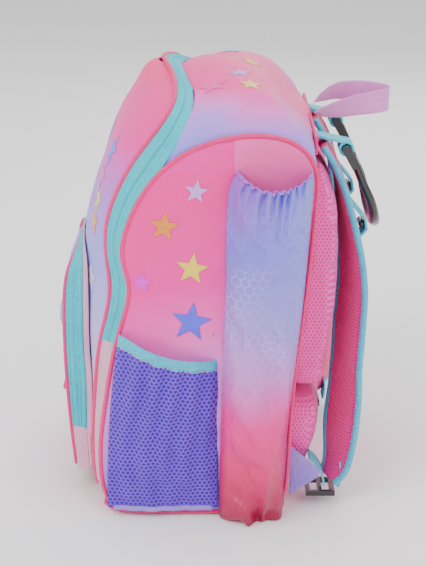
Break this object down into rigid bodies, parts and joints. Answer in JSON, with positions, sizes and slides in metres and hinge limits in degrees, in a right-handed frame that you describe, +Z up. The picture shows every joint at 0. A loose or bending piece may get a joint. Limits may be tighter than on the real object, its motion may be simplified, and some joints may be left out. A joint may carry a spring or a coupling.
{
  "type": "school backpack",
  "caption": "Child's school backpack with a zipped front panel and front pocket, side pockets, padded straps, grab handle and hanging loop.",
  "frame": {"origin": "centre of the base, on the surface that the bag stands on", "axes": "+X towards the side panel that the picture shows, -Y towards the front pocket, +Y towards the straps and the wearer's back, +Z up"},
  "size_m": [0.3648, 0.3106, 0.4024],
  "materials": {
    "pink_shell": "printed woven shell, satin",
    "lilac_shell": "printed woven shell, satin",
    "lining": "smooth woven lining",
    "piping": "tight woven piping",
    "zip_tape": "ribbed woven tape",
    "mesh_purple": "hexagonal knitted mesh",
    "binding": "elastic binding",
    "back_mesh": "padded air mesh",
    "strap_mesh": "padded air mesh",
    "webbing": "ribbed webbing",
    "ribbon": "satin ribbon",
    "gold_fabric": "glossy coated fabric",
    "zip_teeth": "moulded coil",
    "slider": "smooth enamel",
    "pull_rubber": "soft moulded",
    "black_plastic": "moulded, semi-gloss",
    "stiff_sheet": "foam board"
  },
  "bodies": {
    "bag_body": {"side_panel_right": "pink_shell", "side_panel_left": "pink_shell", "top_gusset": "lilac_shell", "base_panel": "pink_shell", "back_panel": "pink_shell", "back_stiffener": "stiff_sheet", "base_board": "stiff_sheet", "back_pad_upper": "back_mesh", "back_pad_lower": "back_mesh", "side_piping_right": "piping", "side_piping_left": "piping", "main_zip_tape_rear": "zip_tape", "main_zip_teeth_rear": "zip_teeth", "corner_gusset_right": "lining", "corner_gusset_left": "lining", "mesh_pocket_right": "mesh_purple", "mesh_pocket_left": "mesh_purple", "mesh_binding_right": "binding", "mesh_binding_left": "binding", "bottle_pocket_right": "lilac_shell", "bottle_pocket_left": "lilac_shell", "bottle_casing_right": "lilac_shell", "bottle_casing_left": "lilac_shell", "strap_anchor_patch": "pink_shell", "handle_chape_right": "webbing", "handle_chape_left": "webbing", "wing_right": "lilac_shell", "wing_left": "lilac_shell", "lower_webbing_right": "webbing", "lower_webbing_left": "webbing"},
    "hang_ribbon": {"hang_loop": "ribbon"},
    "front_flap": {"front_panel": "pink_shell", "front_piping": "piping", "main_zip_tape_front": "zip_tape", "main_zip_teeth_front": "zip_teeth", "pocket_gusset": "lining", "pocket_zip_tape_rear": "zip_tape", "pocket_zip_teeth_rear": "zip_teeth"},
    "pocket_flap": {"pocket_face": "pink_shell", "pocket_piping": "piping", "pocket_zip_tape_front": "zip_tape", "pocket_zip_teeth_front": "zip_teeth", "pocket_star": "gold_fabric", "pocket_trim": "piping"},
    "slider_upper": {"main_slider_upper": "slider"},
    "pull_upper": {"main_pull_upper": "pull_rubber"},
    "slider_lower": {"main_slider_lower": "slider"},
    "pull_lower": {"main_pull_lower": "pull_rubber"},
    "slider_pocket": {"pocket_slider": "slider"},
    "pull_pocket": {"pocket_pull": "pull_rubber"},
    "handle": {"grab_handle": "black_plastic", "handle_end_loops": "black_plastic"},
    "strap_right": {"strap_pad_right": "strap_mesh", "strap_webbing_right": "webbing", "strap_loop_right": "webbing"},
    "strap_left": {"strap_pad_left": "strap_mesh", "strap_webbing_left": "webbing", "strap_loop_left": "webbing"},
    "lock_right": {"ladder_lock_right": "black_plastic"},
    "lock_left": {"ladder_lock_left": "black_plastic"}
  },
  "joints": [
    {"name": "front_panel_open", "type": "hinge", "parent": "bag_body", "child": "front_flap", "pos_m": [0, -0.108, 0.008], "axis": [1, 0, 0], "range_deg": [0, 15]},
    {"name": "pocket_open", "type": "hinge", "parent": "front_flap", "child": "pocket_flap", "pos_m": [0, -0.128, 0.018], "axis": [1, 0, 0], "range_deg": [0, 20]},
    {"name": "slider_upper_slide", "type": "slide", "parent": "front_flap", "child": "slider_upper", "axis": [0, -0.074, 0.9973], "range_m": [0, 0.031]},
    {"name": "slider_lower_slide", "type": "slide", "parent": "front_flap", "child": "slider_lower", "axis": [0, -0.3261, -0.9453], "range_m": [0, 0.021]},
    {"name": "slider_pocket_slide", "type": "slide", "parent": "pocket_flap", "child": "slider_pocket", "axis": [0.0022, -0.02, 0.9998], "range_m": [0, 0.09]},
    {"name": "pull_upper_swing", "type": "hinge", "parent": "slider_upper", "child": "pull_upper", "pos_m": [-0.13978, -0.09378, 0.23061], "axis": [-0.6157, 0.7859, 0.0583], "range_deg": [0, 150]},
    {"name": "pull_lower_swing", "type": "hinge", "parent": "slider_lower", "child": "pull_lower", "pos_m": [-0.13978, -0.09661, 0.19373], "axis": [-0.6157, 0.7449, -0.257], "range_deg": [0, 150]},
    {"name": "pull_pocket_swing", "type": "hinge", "parent": "slider_pocket", "child": "pull_pocket", "pos_m": [-0.09656, -0.1351, 0.08592], "axis": [-0.454, 0.8908, 0.0178], "range_deg": [0, 150]},
    {"name": "handle_swing", "type": "hinge", "parent": "bag_body", "child": "handle", "pos_m": [0, 0.115, 0.328], "axis": [1, 0, 0], "range_deg": [0, 130]},
    {"name": "hang_loop_swing", "type": "hinge", "parent": "bag_body", "child": "hang_ribbon", "pos_m": [0, 0.0875, 0.3525], "axis": [1, 0, 0], "range_deg": [-35, 35]},
    {"name": "strap_right_swing", "type": "hinge", "parent": "bag_body", "child": "strap_right", "pos_m": [0, 0.089, 0.334], "axis": [1, 0, 0], "range_deg": [0, 4.5]},
    {"name": "strap_left_swing", "type": "hinge", "parent": "bag_body", "child": "strap_left", "pos_m": [0, 0.089, 0.334], "axis": [1, 0, 0], "range_deg": [0, 4.5]},
    {"name": "lock_right_tilt", "type": "hinge", "parent": "strap_right", "child": "lock_right", "pos_m": [0.106, 0.106, 0.012], "axis": [1, 0, 0], "range_deg": [-20, 20]},
    {"name": "lock_left_tilt", "type": "hinge", "parent": "strap_left", "child": "lock_left", "pos_m": [-0.106, 0.106, 0.012], "axis": [1, 0, 0], "range_deg": [-20, 20]}
  ]
}
